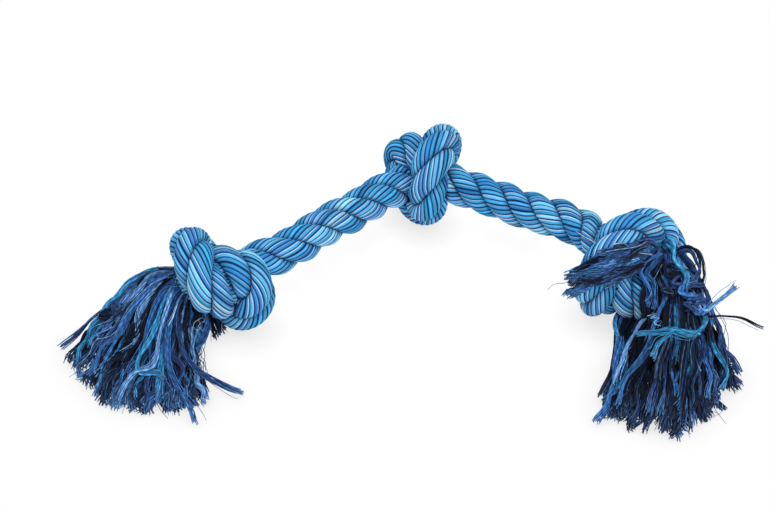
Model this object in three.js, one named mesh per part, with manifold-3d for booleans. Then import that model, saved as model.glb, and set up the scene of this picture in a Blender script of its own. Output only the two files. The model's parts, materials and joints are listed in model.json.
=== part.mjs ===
// Rope tug toy for a dog: one length of thick three-strand cotton rope, tied in an overhand
// knot at its middle and near each end, with both ends unlaid into frayed tassels.
// Millimetres, +Z up. The toy lies on a floor at z = 0, with the origin at the flat under
// the middle knot. The strands are parted in the two free spans, where the rope bends, and
// each strand's frayed lock is parted from the rope at the mouth of the end knot.

import * as THREE from 'three';
import { mergeVertices } from 'three/addons/utils/BufferGeometryUtils.js';
import Module from 'manifold-3d';

const wasm = await Module();
wasm.setup();

// The rope
const ROPE_DIAMETER = 24; // over the crowns of the strands
const LAY_LENGTH = 62; // one right-handed turn of a strand round the rope, to the nearest turn
const LAY_START = 0; // degrees round the rope, where strand a ends at the left mouth
const LAY_END = 20; // degrees more than whole turns, where it ends at the right mouth
const CROWN_RADIUS = 7.2; // rounding of a strand's outer face
const STRAND_GAP = 0.3; // between neighbouring strands
const STRANDS = ['a', 'b', 'c'];

// The knots
const TURN_PITCH = 21.5; // rope thickness that a knot's turns are drawn in to
const TURN_GAP = 0.9; // left between turns that press on each other
const FOOT_DEPTH = 2.4; // flat pressed into a knot where it rests on the floor

// Half of an overhand knot, from its middle to the mouth of its right tail, in TURN_PITCH.
// The other half is this one turned over about y.
const HALF_KNOT = [
  [0, 0, 0],
  [-0.1, 0.05, -0.5],
  [-0.25, 0.3, -0.92],
  [-0.47, 0.78, -1.15],
  [-0.66, 1.32, -1.08],
  [-0.77, 1.74, -0.74],
  [-0.73, 1.92, -0.25],
  [-0.52, 1.8, 0.2],
  [-0.2, 1.46, 0.42],
  [0.22, 1.1, 0.42],
  [0.82, 0.77, 0.38],
];
const HALF_KNOT_CENTRE = [0, 0.95, 0];

// Where each knot's centre stands on the floor, how it is rolled along the rope and then
// turned about z, in degrees, and how far the span pulls each tail aside
const KNOTS = {
  left: { at: [-117, -95], heading: 25, roll: 150, leftPull: [0, 0, 0], rightPull: [0, 8, 6] },
  middle: { at: [14, 6], heading: 5, roll: -18, leftPull: [-2, 0, -2], rightPull: [0, -8, -8] },
  right: { at: [144, -78], heading: -35, roll: 250, leftPull: [0, 4, 0], rightPull: [0, 0, 0] },
};
const PULL_SHARE = 0.5; // of that pull, at the point before the tail's last one

// The rope between and beyond the knots, as points from left to right
const LEFT_MOUTH = [[-152, -97, 34]];
const LEFT_SPAN = [[-78, -65, 31], [-48, -41, 29], [-22, -21, 26]];
const RIGHT_SPAN = [[54, -12, 31], [80, -26, 33], [107, -45, 38]];
const RIGHT_MOUTH = [[175, -88, 40]];

// The bends: a ball of rope in a cup of rope
const BEND_FROM_KNOT = 20; // from the last point of a knot to the bend beside it
const BEND_GAP = 0.9; // between ball and cup
const BALL_SIDES = 20;

// The frayed locks, one for each strand. A lock hangs on a ball at its strand's end, and its
// points are x, y, z, width and height, from the ball to the tip.
const LOCK_BALL = 9; // diameter
const LOCK_SEAT = 0.3; // between the ball and the strand's end
const LOCK_FROM_AXIS = 0.5; // of the way from the rope's axis to a strand's crown
const LOCKS = {
  left: {
    a: [[-156, -119, 23, 13, 17], [-144, -144, 13, 25, 24], [-126, -179, 7, 36, 16]],
    b: [[-174, -99, 18, 14, 14], [-195, -114, 12, 25, 22], [-205, -142, 7, 36, 16]],
    c: [[-169, -109, 35, 13, 14], [-173, -140, 17, 27, 28], [-166, -183, 7, 38, 16]],
  },
  right: {
    a: [[196, -98, 35, 14, 18], [198, -128, 19, 27, 28], [184, -168, 8, 34, 18]],
    b: [[177, -98, 53, 10, 9], [164, -104, 57, 13, 10], [138, -106, 60, 17, 10], [97, -107, 41, 24, 11]],
    c: [[174, -112, 31, 14, 18], [156, -140, 17, 29, 30], [130, -187, 8, 44, 18]],
  },
};

// Facets
const RING_STEP = 5.6; // along the rope
const CROWN_POINTS = 5; // on a strand's crown, between its two edges
const LOCK_STEPS = 3; // between two points of a lock
const LOCK_SIDES = 10; // round a lock
const LOCK_BALL_RINGS = 3; // on the back of a lock's ball
const ROUTE_DIVISIONS = 24; // between two points of the route, for its measures
const LINE_SHARE = 4; // points of the rope's middle line for each ring
const PRESS_ROUNDS = 14; // halvings, when a point is pressed back
const WELD = 1e-4; // corners nearer than this are one

const ROPE_COLOUR = 0x3f8fc4;
const LOCK_COLOUR = 0x23386e;
const ROPE_RADIUS = ROPE_DIAMETER / 2;
const SAME_TURN = 1.75 * ROPE_DIAMETER; // rope nearer than this along it is the same turn
const NEAR_TURN = 2 * ROPE_DIAMETER; // turns farther apart than this can't touch
const UP = new THREE.Vector3(0, 0, 1);
const vector = ([x, y, z]) => new THREE.Vector3(x, y, z);
const radians = THREE.MathUtils.degToRad;

// A knot's points in the toy's frame, from its left tail to its right tail, with its lowest
// turn pressed into the floor
function knotPoints({ at, heading, roll, leftPull, rightPull }) {
  const right = HALF_KNOT.map((p) => vector(p).sub(vector(HALF_KNOT_CENTRE)));
  const left = right.slice(1).map((p) => new THREE.Vector3(-p.x, p.y, -p.z));
  const points = [...left.reverse(), ...right];
  const turn = new THREE.Euler(radians(roll), 0, radians(heading), 'ZYX');
  points.forEach((p) => p.multiplyScalar(TURN_PITCH).applyEuler(turn));
  const lowest = Math.min(...points.map((p) => p.z));
  const centre = vector([...at, ROPE_RADIUS - FOOT_DEPTH - lowest]);
  points.forEach((p) => p.add(centre));
  points[0].add(vector(leftPull));
  points[1].addScaledVector(vector(leftPull), PULL_SHARE);
  points.at(-1).add(vector(rightPull));
  points.at(-2).addScaledVector(vector(rightPull), PULL_SHARE);
  return points;
}

// The rope's route: one open curve from the left mouth to the right mouth
const stretches = [
  LEFT_MOUTH.map(vector),
  knotPoints(KNOTS.left),
  LEFT_SPAN.map(vector),
  knotPoints(KNOTS.middle),
  RIGHT_SPAN.map(vector),
  knotPoints(KNOTS.right),
  RIGHT_MOUTH.map(vector),
];
const routePoints = stretches.flat();
const route = new THREE.CatmullRomCurve3(routePoints, false, 'centripetal');
route.arcLengthDivisions = ROUTE_DIVISIONS * (routePoints.length - 1);
const routeLengths = route.getLengths();
const ropeLength = routeLengths.at(-1);

// Length along the route to the first and last point of a stretch
function stretchEnds(index) {
  const first = stretches.slice(0, index).flat().length;
  const last = first + stretches[index].length - 1;
  return [routeLengths[first * ROUTE_DIVISIONS], routeLengths[last * ROUTE_DIVISIONS]];
}
const [leftKnotEnds, middleKnotEnds, rightKnotEnds] = [1, 3, 5].map(stretchEnds);

// Rings along the rope, each with its place, its direction and its two cross directions
const ringCount = Math.round(ropeLength / RING_STEP);
const ringPitch = ropeLength / ringCount;
const frames = route.computeFrenetFrames(ringCount);
const rings = frames.tangents.map((tangent, index) => ({
  place: route.getPointAt(index / ringCount),
  tangent,
  normal: frames.normals[index],
  binormal: frames.binormals[index],
}));

// Section of a strand, centred on +x about the rope's axis: its inner corner, then one edge,
// the crown and the other edge
function strandSection() {
  const half = Math.PI / STRANDS.length;
  const crownCentre = ROPE_RADIUS - CROWN_RADIUS;
  const chord = Math.sqrt(CROWN_RADIUS ** 2 - (crownCentre * Math.sin(half)) ** 2);
  const edge = crownCentre * Math.cos(half) + chord;
  const edgeAngle = Math.atan2(edge * Math.sin(half), edge * Math.cos(half) - crownCentre);
  const points = [new THREE.Vector2(STRAND_GAP / 2 / Math.sin(half), 0)];
  for (let index = 0; index <= CROWN_POINTS + 1; index += 1) {
    const angle = edgeAngle * (2 * index / (CROWN_POINTS + 1) - 1);
    const point = new THREE.Vector2(CROWN_RADIUS * Math.cos(angle), CROWN_RADIUS * Math.sin(angle));
    points.push(point.add(new THREE.Vector2(crownCentre, 0)));
  }
  const inset = STRAND_GAP / 2 / Math.cos(half);
  points[1].y += inset;
  points.at(-1).y -= inset;
  return points;
}

// Draws a point of a section in towards its own ring until it lies on its own side of the
// mid-line between this turn of the rope and the turns beside it
function press(offset, home, others) {
  const fits = (share) => {
    const point = offset.clone().multiplyScalar(share).add(home);
    const reach = offset.length() * share + TURN_GAP;
    return others.every((other) => other.distanceTo(point) >= reach);
  };
  if (fits(1)) return offset.clone().add(home);
  let [low, high] = [0, 1];
  for (let round = 0; round < PRESS_ROUNDS; round += 1) {
    const share = (low + high) / 2;
    if (fits(share)) low = share;
    else high = share;
  }
  return offset.clone().multiplyScalar(low).add(home);
}

// The three strands' sections at every ring
const section = strandSection();
const layTurns = Math.round(ropeLength / LAY_LENGTH);
const middleLine = route.getSpacedPoints(ringCount * LINE_SHARE);
const ringSections = rings.map(({ place, normal, binormal }, index) => {
  const others = middleLine.filter((point, at) => (
    Math.abs(at / LINE_SHARE - index) * ringPitch > SAME_TURN
    && point.distanceTo(place) < NEAR_TURN
  ));
  const lay = radians(LAY_START + (360 * layTurns + LAY_END) * index / ringCount);
  return STRANDS.map((_, strand) => section.map((corner) => {
    const angle = lay + 2 * Math.PI * strand / STRANDS.length;
    const turned = corner.clone().rotateAround(new THREE.Vector2(), angle);
    const offset = normal.clone().multiplyScalar(turned.x).addScaledVector(binormal, turned.y);
    return press(offset, place, others);
  }));
});

// Least gap between two turns of the rope, measured on the points of their sections
function leastTurnGap() {
  const outlines = ringSections.map((strands) => strands.flatMap((points) => points.slice(1)));
  const reach = Math.ceil(SAME_TURN / ringPitch);
  let least = Infinity;
  rings.forEach((ring, index) => {
    for (let other = index + reach; other < rings.length; other += 1) {
      if (rings[other].place.distanceTo(ring.place) > NEAR_TURN) continue;
      for (const p of outlines[index]) {
        for (const q of outlines[other]) least = Math.min(least, p.distanceTo(q));
      }
    }
  });
  return least;
}
console.log(`rope ${ropeLength.toFixed(0)} mm, least gap between turns ${leastTurnGap().toFixed(2)} mm`);

// A closed body through rings of as many points each, with flat ends. The last side of each
// ring is split along its other diagonal, so that neighbouring strands' flanks stay parallel.
function loft(loops) {
  const size = loops[0].length;
  const index = [];
  for (let ring = 0; ring + 1 < loops.length; ring += 1) {
    for (let side = 0; side < size; side += 1) {
      const a = ring * size + side;
      const b = ring * size + (side + 1) % size;
      const [c, d] = [b + size, a + size];
      if (side === size - 1) index.push(a, b, d, b, c, d);
      else index.push(a, b, c, a, c, d);
    }
  }
  const end = (loops.length - 1) * size;
  for (let side = 1; side + 1 < size; side += 1) {
    index.push(0, side + 1, side, end, end + side, end + side + 1);
  }
  const geometry = new THREE.BufferGeometry().setFromPoints(loops.flat());
  return geometry.setIndex(index);
}

// Solids for cutting and joining, and back
function toSolid(geometry) {
  const plain = geometry.clone().deleteAttribute('normal').deleteAttribute('uv');
  const merged = mergeVertices(plain, WELD);
  return new wasm.Manifold(new wasm.Mesh({
    numProp: 3,
    vertProperties: new Float32Array(merged.getAttribute('position').array),
    triVerts: new Uint32Array(merged.getIndex().array),
  }));
}

function toGeometry(solid) {
  const { vertProperties, triVerts } = solid.getMesh();
  const geometry = new THREE.BufferGeometry();
  geometry.setAttribute('position', new THREE.BufferAttribute(new Float32Array(vertProperties), 3));
  return geometry.setIndex(new THREE.BufferAttribute(new Uint32Array(triVerts), 1));
}

// What lies under the floor
const FLOOR_SIZE = 4 * ropeLength;
const underFloor = toSolid(
  new THREE.BoxGeometry(FLOOR_SIZE, FLOOR_SIZE, FLOOR_SIZE).translate(0, 0, -FLOOR_SIZE / 2),
);

// A bend of the rope at a length along it. The ball is on the side of the middle knot, which
// lies in the direction of inward, 1 to the right or -1 to the left.
function bendAt(length, inward) {
  const share = length / ropeLength;
  const place = route.getPointAt(share);
  const tangent = route.getTangentAt(share);
  const toRope = new THREE.Quaternion().setFromUnitVectors(new THREE.Vector3(1, 0, 0), tangent);
  const block = (side) => new THREE.BoxGeometry(ROPE_DIAMETER, 2 * ROPE_DIAMETER, 2 * ROPE_DIAMETER)
    .translate(side * ROPE_RADIUS, 0, 0).applyQuaternion(toRope).translate(...place.toArray());
  const sphere = (radius) => new THREE.SphereGeometry(radius, BALL_SIDES, BALL_SIDES / 2)
    .applyQuaternion(toRope).translate(...place.toArray());
  const outward = -inward;
  return {
    length,
    place,
    ballWaste: toSolid(block(outward)).subtract(toSolid(sphere(ROPE_RADIUS))),
    cupWaste: toSolid(block(inward)).add(toSolid(sphere(ROPE_RADIUS + BEND_GAP))),
  };
}
const bends = {
  leftKnot: bendAt(leftKnotEnds[1] + BEND_FROM_KNOT, 1),
  leftSpan: bendAt(middleKnotEnds[0] - BEND_FROM_KNOT, 1),
  rightSpan: bendAt(middleKnotEnds[1] + BEND_FROM_KNOT, -1),
  rightKnot: bendAt(rightKnotEnds[0] - BEND_FROM_KNOT, -1),
};

const toy = new THREE.Group();
function addPiece(name, geometry, colour) {
  const material = new THREE.MeshStandardMaterial({ color: colour, roughness: 0.9, metalness: 0 });
  const mesh = new THREE.Mesh(geometry, material);
  mesh.name = name;
  toy.add(mesh);
}

// A stretch of the rope, from one length along it to another, as three strands
const ENDS_OVER = Math.ceil(ROPE_RADIUS / ringPitch);
function addStretch(name, from, to, wastes) {
  const first = Math.max(0, Math.floor(from / ringPitch) - ENDS_OVER);
  const last = Math.min(ringCount, Math.ceil(to / ringPitch) + ENDS_OVER);
  STRANDS.forEach((letter, strand) => {
    const loops = ringSections.slice(first, last + 1).map((strands) => strands[strand]);
    let solid = toSolid(loft(loops));
    [...wastes, underFloor].forEach((waste) => { solid = solid.subtract(waste); });
    addPiece(`${name}_strand_${letter}`, toGeometry(solid), ROPE_COLOUR);
  });
}
addStretch('left_knot', 0, bends.leftKnot.length, [bends.leftKnot.cupWaste]);
addStretch('left_span', bends.leftKnot.length, bends.leftSpan.length, [
  bends.leftKnot.ballWaste,
  bends.leftSpan.cupWaste,
]);
addStretch('middle_knot', bends.leftSpan.length, bends.rightSpan.length, [
  bends.leftSpan.ballWaste,
  bends.rightSpan.ballWaste,
]);
addStretch('right_span', bends.rightSpan.length, bends.rightKnot.length, [
  bends.rightSpan.cupWaste,
  bends.rightKnot.ballWaste,
]);
addStretch('right_knot', bends.rightKnot.length, ropeLength, [bends.rightKnot.cupWaste]);

// Rings of a lock of frayed yarn: the back of its ball, then its sections out to the tip
function lockLoops(root, outward, points) {
  const sectionAt = (place, along, width, height) => {
    const side = UP.clone().cross(along).normalize();
    const rise = along.clone().cross(side).normalize();
    return Array.from({ length: LOCK_SIDES }, (_, index) => {
      const angle = 2 * Math.PI * index / LOCK_SIDES;
      return place.clone()
        .addScaledVector(side, width / 2 * Math.cos(angle))
        .addScaledVector(rise, height / 2 * Math.sin(angle));
    });
  };
  const loops = [];
  for (let ring = 1; ring <= LOCK_BALL_RINGS; ring += 1) {
    const angle = Math.PI / 2 * ring / LOCK_BALL_RINGS;
    const place = root.clone().addScaledVector(outward, -LOCK_BALL / 2 * Math.cos(angle));
    loops.push(sectionAt(place, outward, LOCK_BALL * Math.sin(angle), LOCK_BALL * Math.sin(angle)));
  }
  const line = new THREE.CatmullRomCurve3([root, ...points.map(vector)]);
  const tipSizes = points.map(([, , , width, height]) => vector([width, height, 0]));
  const sizes = new THREE.CatmullRomCurve3([vector([LOCK_BALL, LOCK_BALL, 0]), ...tipSizes]);
  const steps = LOCK_STEPS * points.length;
  for (let step = 1; step <= steps; step += 1) {
    const share = step / steps;
    const { x: width, y: height } = sizes.getPoint(share);
    loops.push(sectionAt(line.getPoint(share), line.getTangent(share), width, height));
  }
  return loops;
}

// The three locks of a tassel, at the rope's end ring. Returns the middle of each ball.
function addTassel(name, ring, endSections, outward, locks) {
  return STRANDS.map((letter, strand) => {
    const [, ...crown] = endSections[strand];
    const crownMiddle = crown[Math.floor(crown.length / 2)];
    const root = ring.place.clone().lerp(crownMiddle, LOCK_FROM_AXIS);
    root.addScaledVector(outward, LOCK_BALL / 2 + LOCK_SEAT);
    const solid = toSolid(loft(lockLoops(root, outward, locks[letter]))).subtract(underFloor);
    addPiece(`${name}_lock_${letter}`, toGeometry(solid), LOCK_COLOUR);
    return root;
  });
}
const leftLocks = addTassel(
  'left', rings[0], ringSections[0], rings[0].tangent.clone().negate(), LOCKS.left,
);
const rightLocks = addTassel(
  'right', rings[ringCount], ringSections[ringCount], rings[ringCount].tangent, LOCKS.right,
);

// The middles of the joints
const bendPlaces = Object.entries(bends).map(([name, { place }]) => [name, place]);
toy.userData.joints = { ...Object.fromEntries(bendPlaces), leftLocks, rightLocks };

export default toy;
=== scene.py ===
# Rope tug toy for a dog: one length of thick three-strand cotton rope, tied in an overhand
# knot at its middle and near each end, with both ends unlaid into frayed tassels.
# Metres, +Z up. The toy lies on the floor at z = 0.

import json
import math

import bpy
import numpy as np
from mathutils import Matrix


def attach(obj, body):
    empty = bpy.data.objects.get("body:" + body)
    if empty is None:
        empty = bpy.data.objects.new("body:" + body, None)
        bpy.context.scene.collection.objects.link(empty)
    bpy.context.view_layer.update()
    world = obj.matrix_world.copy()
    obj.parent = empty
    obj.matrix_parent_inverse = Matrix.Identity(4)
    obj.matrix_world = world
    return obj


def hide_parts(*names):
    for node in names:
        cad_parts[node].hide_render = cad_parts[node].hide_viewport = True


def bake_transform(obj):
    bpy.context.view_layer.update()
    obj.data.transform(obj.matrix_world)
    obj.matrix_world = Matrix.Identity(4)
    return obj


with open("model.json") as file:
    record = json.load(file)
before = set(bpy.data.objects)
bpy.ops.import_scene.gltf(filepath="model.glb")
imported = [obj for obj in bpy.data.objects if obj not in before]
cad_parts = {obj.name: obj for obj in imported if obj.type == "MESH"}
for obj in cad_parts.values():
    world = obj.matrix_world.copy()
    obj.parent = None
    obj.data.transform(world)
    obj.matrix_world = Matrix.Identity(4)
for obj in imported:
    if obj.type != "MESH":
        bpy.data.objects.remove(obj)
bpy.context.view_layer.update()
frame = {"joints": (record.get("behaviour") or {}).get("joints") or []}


# ---- The camera
# A studio camera with a short telephoto lens, standing in front of the toy and looking down on
# it at about 42 degrees, so that the whole toy lies in a 770 by 512 frame.
CAMERA_DISTANCE = 1.0
CAMERA_ELEVATION = math.radians(42)
CAMERA_AIM = (-0.015068, -0.026639, -0.009692)
FRAME_PIXELS = 770
PIXEL_SIZE = 0.000676  # of what the camera sees at the aim

bpy.ops.object.select_all(action="DESELECT")
bpy.ops.object.camera_add(
    location=(
        CAMERA_AIM[0],
        CAMERA_AIM[1] - CAMERA_DISTANCE * math.cos(CAMERA_ELEVATION),
        CAMERA_AIM[2] + CAMERA_DISTANCE * math.sin(CAMERA_ELEVATION),
    ),
    rotation=(math.pi / 2 - CAMERA_ELEVATION, 0, 0),
)
camera = bpy.context.object
camera.data.sensor_width = 36
camera.data.lens = camera.data.sensor_width * CAMERA_DISTANCE / (FRAME_PIXELS * PIXEL_SIZE)
bpy.context.scene.camera = camera


# ---- The rope's strands
# Three strands of soft cotton laid right-handed, each a bundle of yarns in several blues, with
# the yarns turned the other way in the strand, so that they lie nearly along the rope.
ROPE_DIAMETER = 0.024
LAY_LENGTH = 0.062
LAY_END = 20  # degrees more than whole turns, at the right mouth
CROWN_RADIUS = 0.0084
SWELL = 0.0010  # of a slack strand past the diameter that the rope is sold by
STRAND_GAP = 0.0003
STRANDS = "abc"
TURN_PITCH = 0.0215  # rope thickness that a knot's turns are drawn in to
TURN_GAP = 0.0001  # between turns that press on each other
FOOT_DEPTH = 0.0024  # flat pressed into a knot where it rests on the floor
HALF_KNOT = [
    (0, 0, 0),
    (-0.1, 0.05, -0.5),
    (-0.25, 0.3, -0.92),
    (-0.47, 0.78, -1.15),
    (-0.66, 1.32, -1.08),
    (-0.77, 1.74, -0.74),
    (-0.73, 1.92, -0.25),
    (-0.52, 1.8, 0.2),
    (-0.2, 1.46, 0.42),
    (0.22, 1.1, 0.42),
    (0.82, 0.77, 0.38),
]  # from its middle to the mouth of its right tail, in TURN_PITCH
HALF_KNOT_CENTRE = (0, 0.95, 0)
PULL_SHARE = 0.5  # of a tail's pull, at the point before its last one
LEFT_MOUTH = [(-0.152, -0.097, 0.034)]
LEFT_SPAN = [(-0.078, -0.065, 0.031), (-0.048, -0.041, 0.029), (-0.022, -0.021, 0.026)]
RIGHT_SPAN = [(0.054, -0.012, 0.031), (0.080, -0.026, 0.033), (0.107, -0.045, 0.038)]
RIGHT_MOUTH = [(0.175, -0.088, 0.040)]
MM = 0.001
SETTLED_REACH = 0.020
SETTLED = np.array([  # how the soft rope has settled: near which place and by how much, in mm
    [(-140, -96, 38), (1.9, -3.1, -3.5)],
    [(-99, -103, 17), (-5.7, -0.6, 0)],
    [(-131, -80, 43), (-4.6, 0.1, 0.2)],
    [(-84, -69, 31), (0.4, -1.6, 0)],
    [(-48, -41, 29), (-1.3, 2.0, 2.2)],
    [(-22, -21, 26), (-2.8, 2.6, 2.9)],
    [(-15, -13, 26), (-1.5, 1.3, 1.4)],
    [(20, 19, 32), (-7.0, 3.4, 0)],
    [(25, 16, 54), (-1.7, -3.3, -3.6)],
    [(16, -11, 43), (-1.9, 0.6, 0.7)],
    [(4, -2, 18), (7.0, 6.3, 0)],
    [(-4, 25, 27), (-0.5, 2.5, 5.5)],
    [(35, -3, 34), (-2.5, -0.4, -0.4)],
    [(54, -12, 31), (-1.3, 0.6, 0.6)],
    [(80, -26, 33), (1.2, -1.9, -2.1)],
    [(107, -45, 38), (1.9, -1.6, -1.7)],
    [(111, -51, 38), (2.6, -2.0, -2.2)],
    [(120, -88, 28), (-1.1, -10.5, 0)],
    [(133, -79, 45), (-4.9, 3.6, 4.0)],
    [(138, -81, 19), (-1.5, -10.5, 0)],
    [(159, -79, 15), (2.5, -2.9, 0)],
    [(160, -65, 38), (1.3, 1.7, 1.9)],
    [(166, -82, 34), (-6.9, -1.0, -1.1)],
])
RING_STEP = 0.0015  # along the rope
SAME_TURN = 1.75 * ROPE_DIAMETER  # rope nearer than this along it is the same turn
NEAR_TURN = 2 * ROPE_DIAMETER  # turns farther apart than this can't touch

YARNS = 17  # round a strand
YARN_COLUMNS = np.array([0, 0.09, 0.2, 0.35, 0.5, 0.65, 0.8, 0.91])  # across a yarn
YARN_TURN = -178  # radians a metre, in the strand's own section
YARN_RIDGE = 0.0010
RIDGE_SHARES = (0.75, 1.15)  # of that height, from the flattest yarn to the boldest
RIDGE_WIDTH = 0.96  # share of a yarn that its round back takes up
RIDGE_MEAN = 0.8  # height of the round back that lies on the strand's own section
RIDGES_END = (1.45, 1.95)  # round a strand, where the ridges fade out on its hidden flanks
EDGE_ROUNDING = 12  # power of the mean that rounds a strand's edges
LEAST_SLOPE = 0.05  # of a flank that still cuts into the crown
YARN_DYES = [  # sRGB, share of the yarns
    ((0.28, 0.69, 0.92), 0.28),
    ((0.40, 0.78, 1.0), 0.24),
    ((0.21, 0.65, 0.85), 0.18),
    ((0.20, 0.54, 0.82), 0.14),
    ((0.56, 0.87, 1.0), 0.16),
]
YARN_BRIGHTNESS = (0.83, 1.07)
# A thin pale line along most yarns: partly pale fibres, partly a painted highlight on the yarn's
# lit edge.
PALE_DYE_AND_HIGHLIGHT = (0.85, 0.92, 1.0)  # of a thin line along a yarn, beside the furrow
PALE_YARNS = 0.8  # share of the yarns that have one
PALE_STRENGTH = (0.4, 1)
PALE_PLACE, PALE_WIDTH = 0.2, 0.1  # across a yarn
# Painted shade: the dark colour laid into the furrows between yarns, and also into the seams
# between turns and on the strands' flanks.
FURROW_SHADE = (0.01, 0.10, 0.32)
FURROW_STRENGTH = (0.7, 1)
FURROW_WIDTH = (0.1, 0.32)  # in yarns
FURROW_EDGE = 0.15
RIDGE_SEED, DYE_SEED = 40, 70
SEAM_DEPTH = 0.08  # share of the radius pressed in where the painted shade in the seams between turns is darkest
SEAM_SHADE = 0.75
FLANK_ANGLES = (1.1, 1.65)  # round a strand, where painted shade darkens it towards the next one
FLANK_SHADE = 0.55
PLY_PITCH = 0.0055  # between the plies that show along a twisted yarn


def linear(colour):
    """An sRGB colour as the linear values that the shaders take."""
    c = np.asarray(colour, float)
    return np.where(c <= 0.04045, c / 12.92, ((c + 0.055) / 1.055) ** 2.4)


def knot_points(at, heading, roll, left_pull=(0, 0, 0), right_pull=(0, 0, 0)):
    """An overhand knot's line from its left tail to its right tail, resting on the floor."""
    right = np.array(HALF_KNOT) - HALF_KNOT_CENTRE
    left = right[1:] * (-1, 1, -1)
    points = np.vstack([left[::-1], right]) * TURN_PITCH
    r, h = math.radians(roll), math.radians(heading)
    about_x = [[1, 0, 0], [0, math.cos(r), -math.sin(r)], [0, math.sin(r), math.cos(r)]]
    about_z = [[math.cos(h), -math.sin(h), 0], [math.sin(h), math.cos(h), 0], [0, 0, 1]]
    points = points @ np.array(about_x).T @ np.array(about_z).T
    points += (*at, ROPE_DIAMETER / 2 - FOOT_DEPTH - points[:, 2].min())
    points[0] += left_pull
    points[1] += PULL_SHARE * np.array(left_pull)
    points[-1] += right_pull
    points[-2] += PULL_SHARE * np.array(right_pull)
    return points


def smooth_line(points, steps=64):
    """A centripetal Catmull-Rom line through points, with that many steps between two of them."""
    points = np.asarray(points, float)
    ends = np.vstack([2 * points[0] - points[1], points, 2 * points[-1] - points[-2]])
    t = (np.arange(steps) / steps)[:, None]
    spans = []
    for p0, p1, p2, p3 in zip(ends, ends[1:], ends[2:], ends[3:]):
        d0, d1, d2 = (np.linalg.norm(b - a) ** 0.5 for a, b in ((p0, p1), (p1, p2), (p2, p3)))
        m1 = d1 * ((p1 - p0) / d0 - (p2 - p0) / (d0 + d1) + (p2 - p1) / d1)
        m2 = d1 * ((p2 - p1) / d1 - (p3 - p1) / (d1 + d2) + (p3 - p2) / d2)
        spans.append(
            (2 * t**3 - 3 * t**2 + 1) * p1 + (t**3 - 2 * t**2 + t) * m1
            + (3 * t**2 - 2 * t**3) * p2 + (t**3 - t**2) * m2
        )
    return np.vstack([*spans, points[-1:]])


def evenly(line, count):
    """The line again as count + 1 points at even distances, and their lengths along it."""
    along = np.concatenate([[0], np.cumsum(np.linalg.norm(np.diff(line, axis=0), axis=1))])
    at = np.linspace(0, along[-1], count + 1)
    return np.stack([np.interp(at, along, line[:, k]) for k in range(3)], axis=1), at


def unit(vectors):
    """Vectors at length 1."""
    return vectors / np.linalg.norm(vectors, axis=-1, keepdims=True)


def ramp(values, start, end):
    """0 up to start, 1 from end on, and even between them."""
    return np.clip((values - start) / (end - start), 0, 1)


def cross_directions(line):
    """The direction of a line at each point, and two directions across it that don't twist."""
    ahead = unit(np.gradient(line, axis=0))
    start = np.eye(3)[np.argmin(np.abs(ahead[0]))]
    normals = [np.cross(ahead[0], unit(np.cross(ahead[0], start)))]
    for a, b in zip(ahead, ahead[1:]):
        n, turn = normals[-1], np.cross(a, b)
        size = np.linalg.norm(turn)
        if size > 1e-12:
            axis, angle = turn / size, math.atan2(size, a @ b)
            n = (
                n * math.cos(angle) + np.cross(axis, n) * math.sin(angle)
                + axis * (axis @ n) * (1 - math.cos(angle))
            )
        normals.append(n)
    normals = np.array(normals)
    return ahead, normals, np.cross(ahead, normals)


rope_points = np.vstack([
    LEFT_MOUTH,
    knot_points(at=(-0.117, -0.095), heading=25, roll=150, right_pull=(0, 0.008, 0.006)),
    LEFT_SPAN,
    knot_points(at=(0.014, 0.006), heading=5, roll=-18, left_pull=(-0.002, 0, -0.002),
                right_pull=(0, -0.008, -0.008)),
    RIGHT_SPAN,
    knot_points(at=(0.144, -0.078), heading=-35, roll=250, left_pull=(0, 0.004, 0)),
    RIGHT_MOUTH,
])
rope_fine = smooth_line(rope_points)
settled_places, settled_by = SETTLED[:, 0] * MM, SETTLED[:, 1] * MM
settled_near = np.linalg.norm(rope_fine[:, None] - settled_places, axis=2) / SETTLED_REACH
rope_fine = rope_fine + np.exp(-(settled_near**2)) @ settled_by
rope_length = float(np.linalg.norm(np.diff(rope_fine, axis=0), axis=1).sum())
rope_line, rope_at = evenly(rope_fine, round(rope_length / RING_STEP))
rope_ahead, rope_normal, rope_binormal = cross_directions(rope_line)
lay_turns = round(rope_length / LAY_LENGTH)
rope_lay = np.radians(360 * lay_turns + LAY_END) * rope_at / rope_length


def press_share(offsets, home, others):
    """How much of each offset from the rope's middle stays on this turn's side of the others."""
    if not len(others):
        return np.ones(len(offsets))
    reach = np.linalg.norm(offsets, axis=1)
    away = home - others
    room = (away**2).sum(1) - TURN_GAP**2
    lean = 2 * (reach[:, None] * TURN_GAP - offsets @ away.T)
    return np.where(lean > 1e-9, room / np.maximum(lean, 1e-9), 1).min(axis=1).clip(0, 1)


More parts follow.
